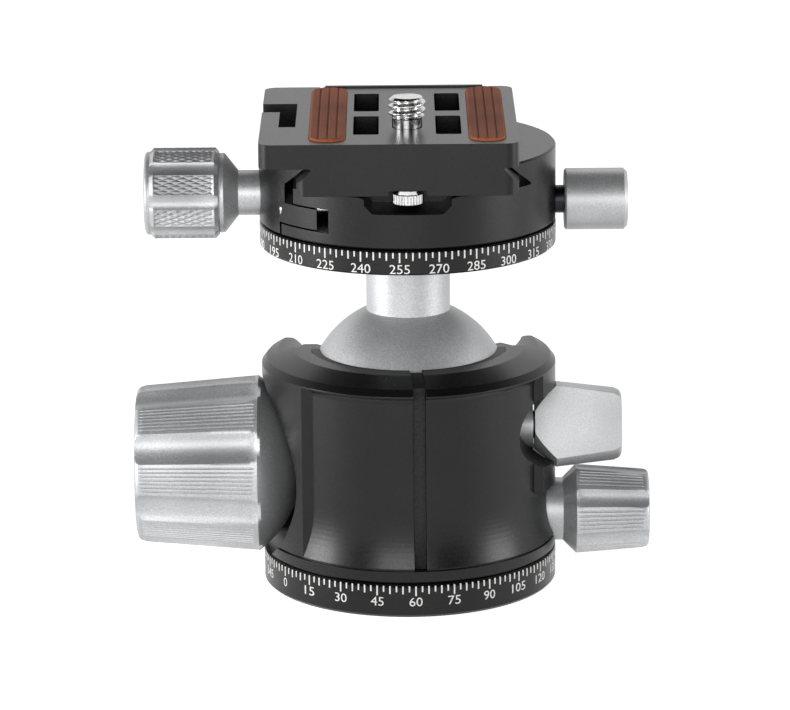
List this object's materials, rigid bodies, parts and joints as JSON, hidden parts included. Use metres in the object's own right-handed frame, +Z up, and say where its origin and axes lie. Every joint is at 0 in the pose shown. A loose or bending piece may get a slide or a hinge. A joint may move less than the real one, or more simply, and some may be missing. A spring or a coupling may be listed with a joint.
{
  "type": "tripod ball head",
  "caption": "Low tripod ball head with a notched ball housing, lock, friction and pan knobs, a second panning clamp on the stem and a dovetail quick release plate with a camera screw.",
  "frame": {"origin": "centre of the base's bottom face, at the mouth of the tripod thread", "axes": "+Z up along the panning axis; the split line of the housing faces the front, -Y, and the drop notch faces +Y; the main lock knob is at -X and the friction and pan knobs are at +X"},
  "size_m": [0.091, 0.052, 0.0893],
  "materials": {
    "black_anodised": "bead blasted, black anodised, satin",
    "silver_anodised": "bead blasted, clear anodised, satin",
    "stainless_steel": "turned stainless steel",
    "blackened_steel": "blackened steel",
    "nylon": "natural nylon",
    "dark_polymer": "dark friction polymer, smooth",
    "grained_filler": "grained elastic filler",
    "brown_rubber": "ribbed brown rubber",
    "brass": "turned brass"
  },
  "bodies": {
    "base": {"base_plate": "black_anodised", "brake_drum": "stainless_steel", "drum_screws": "stainless_steel", "lower_bearing_ring": "nylon"},
    "housing": {"housing": "black_anodised", "split_strip": "grained_filler", "floor_ring": "stainless_steel", "glide_washer": "nylon", "snap_ring": "blackened_steel", "wave_washer": "blackened_steel", "ball_cup": "nylon", "friction_collar": "dark_polymer", "lock_bush": "stainless_steel", "friction_bush": "silver_anodised"},
    "main_plunger": {"lock_shoe": "brass"},
    "main_knob": {"main_lock_knob": "silver_anodised", "lock_spindle": "stainless_steel", "knob_retaining_screw": "blackened_steel"},
    "friction_plunger": {"friction_plug": "nylon"},
    "friction_turner": {"friction_knob": "silver_anodised", "friction_screw": "blackened_steel"},
    "pan_brake": {"brake_pad": "brass"},
    "pan_turner": {"pan_lock_knob": "silver_anodised", "pan_lock_screw": "blackened_steel"},
    "ball": {"ball_stem": "silver_anodised"},
    "upper_ring": {"graduated_ring": "black_anodised", "retaining_disc": "stainless_steel", "stem_screw": "stainless_steel", "upper_bearing_ring": "nylon"},
    "clamp": {"clamp_body": "black_anodised", "upper_glide_washer": "nylon", "jaw_springs": "stainless_steel"},
    "jaw": {"clamp_jaw": "black_anodised", "guide_pins": "stainless_steel"},
    "clamp_turner": {"clamp_knob": "silver_anodised", "clamp_screw": "blackened_steel"},
    "clamp_brake": {"clamp_brake_pad": "brass"},
    "clamp_pan_turner": {"clamp_pan_knob": "silver_anodised", "clamp_pan_screw": "blackened_steel"},
    "plate": {"quick_plate": "black_anodised", "rubber_pads": "brown_rubber", "stop_screws": "stainless_steel"},
    "screw_carriage": {"screw_washer": "blackened_steel"},
    "camera_fastener": {"camera_screw": "stainless_steel"}
  },
  "joints": [
    {"name": "base_pan", "type": "hinge", "parent": "base", "child": "housing", "pos_m": [0, 0, 0.006], "axis": [0, 0, 1], "continuous": true},
    {"name": "ball_tilt", "type": "hinge", "parent": "housing", "child": "ball", "pos_m": [0, 0, 0.0325], "axis": [1, 0, 0], "range_deg": [-90, 34]},
    {"name": "stem_spin", "type": "hinge", "parent": "ball", "child": "upper_ring", "pos_m": [0, 0, 0.0612], "axis": [0, 0, 1], "continuous": true},
    {"name": "upper_pan", "type": "hinge", "parent": "upper_ring", "child": "clamp", "pos_m": [0, 0, 0.0657], "axis": [0, 0, 1], "continuous": true},
    {"name": "main_lock_travel", "type": "slide", "parent": "housing", "child": "main_plunger", "axis": [-1, 0, 0], "range_m": [0, 0.00112]},
    {"name": "main_lock_turn", "type": "hinge", "parent": "main_plunger", "child": "main_knob", "pos_m": [-0.03, 0, 0.0209], "axis": [-1, 0, 0], "range_deg": [0, 270.1]},
    {"name": "friction_travel", "type": "slide", "parent": "housing", "child": "friction_plunger", "axis": [1, 0, 0], "range_m": [0, 0.0008]},
    {"name": "friction_turn", "type": "hinge", "parent": "friction_plunger", "child": "friction_turner", "pos_m": [0.026, 0, 0.0276], "axis": [1, 0, 0], "range_deg": [0, 360.1]},
    {"name": "pan_brake_travel", "type": "slide", "parent": "housing", "child": "pan_brake", "axis": [1, 0, 0], "range_m": [0, 0.0008]},
    {"name": "pan_lock_turn", "type": "hinge", "parent": "pan_brake", "child": "pan_turner", "pos_m": [0.03, 0, 0.0119], "axis": [1, 0, 0], "range_deg": [0, 360.1]},
    {"name": "jaw_slide", "type": "slide", "parent": "clamp", "child": "jaw", "axis": [-1, 0, 0], "range_m": [0, 0.0025]},
    {"name": "clamp_knob_turn", "type": "hinge", "parent": "jaw", "child": "clamp_turner", "pos_m": [-0.03, 0, 0.0702], "axis": [-1, 0, 0], "range_deg": [0, 720.1]},
    {"name": "clamp_brake_travel", "type": "slide", "parent": "clamp", "child": "clamp_brake", "axis": [1, 0, 0], "range_m": [0, 0.0008]},
    {"name": "clamp_pan_turn", "type": "hinge", "parent": "clamp_brake", "child": "clamp_pan_turner", "pos_m": [0.03, 0, 0.0686], "axis": [1, 0, 0], "range_deg": [0, 360.1]},
    {"name": "plate_slide", "type": "slide", "parent": "clamp", "child": "plate", "axis": [0, 1, 0], "range_m": [-0.0036, 0.0036]},
    {"name": "camera_screw_travel", "type": "slide", "parent": "plate", "child": "screw_carriage", "axis": [0, 1, 0], "range_m": [0, 0.0212]},
    {"name": "camera_screw_turn", "type": "hinge", "parent": "screw_carriage", "child": "camera_fastener", "pos_m": [0, -0.0106, 0.08], "axis": [0, 0, 1], "continuous": true}
  ],
  "couplings": [
    {"joint": "main_lock_turn", "follows": "main_lock_travel", "rad_per_m": 4188.8},
    {"joint": "friction_turn", "follows": "friction_travel", "rad_per_m": 7854},
    {"joint": "pan_lock_turn", "follows": "pan_brake_travel", "rad_per_m": 7854},
    {"joint": "clamp_knob_turn", "follows": "jaw_slide", "rad_per_m": 5026.5},
    {"joint": "clamp_pan_turn", "follows": "clamp_brake_travel", "rad_per_m": 7854}
  ]
}
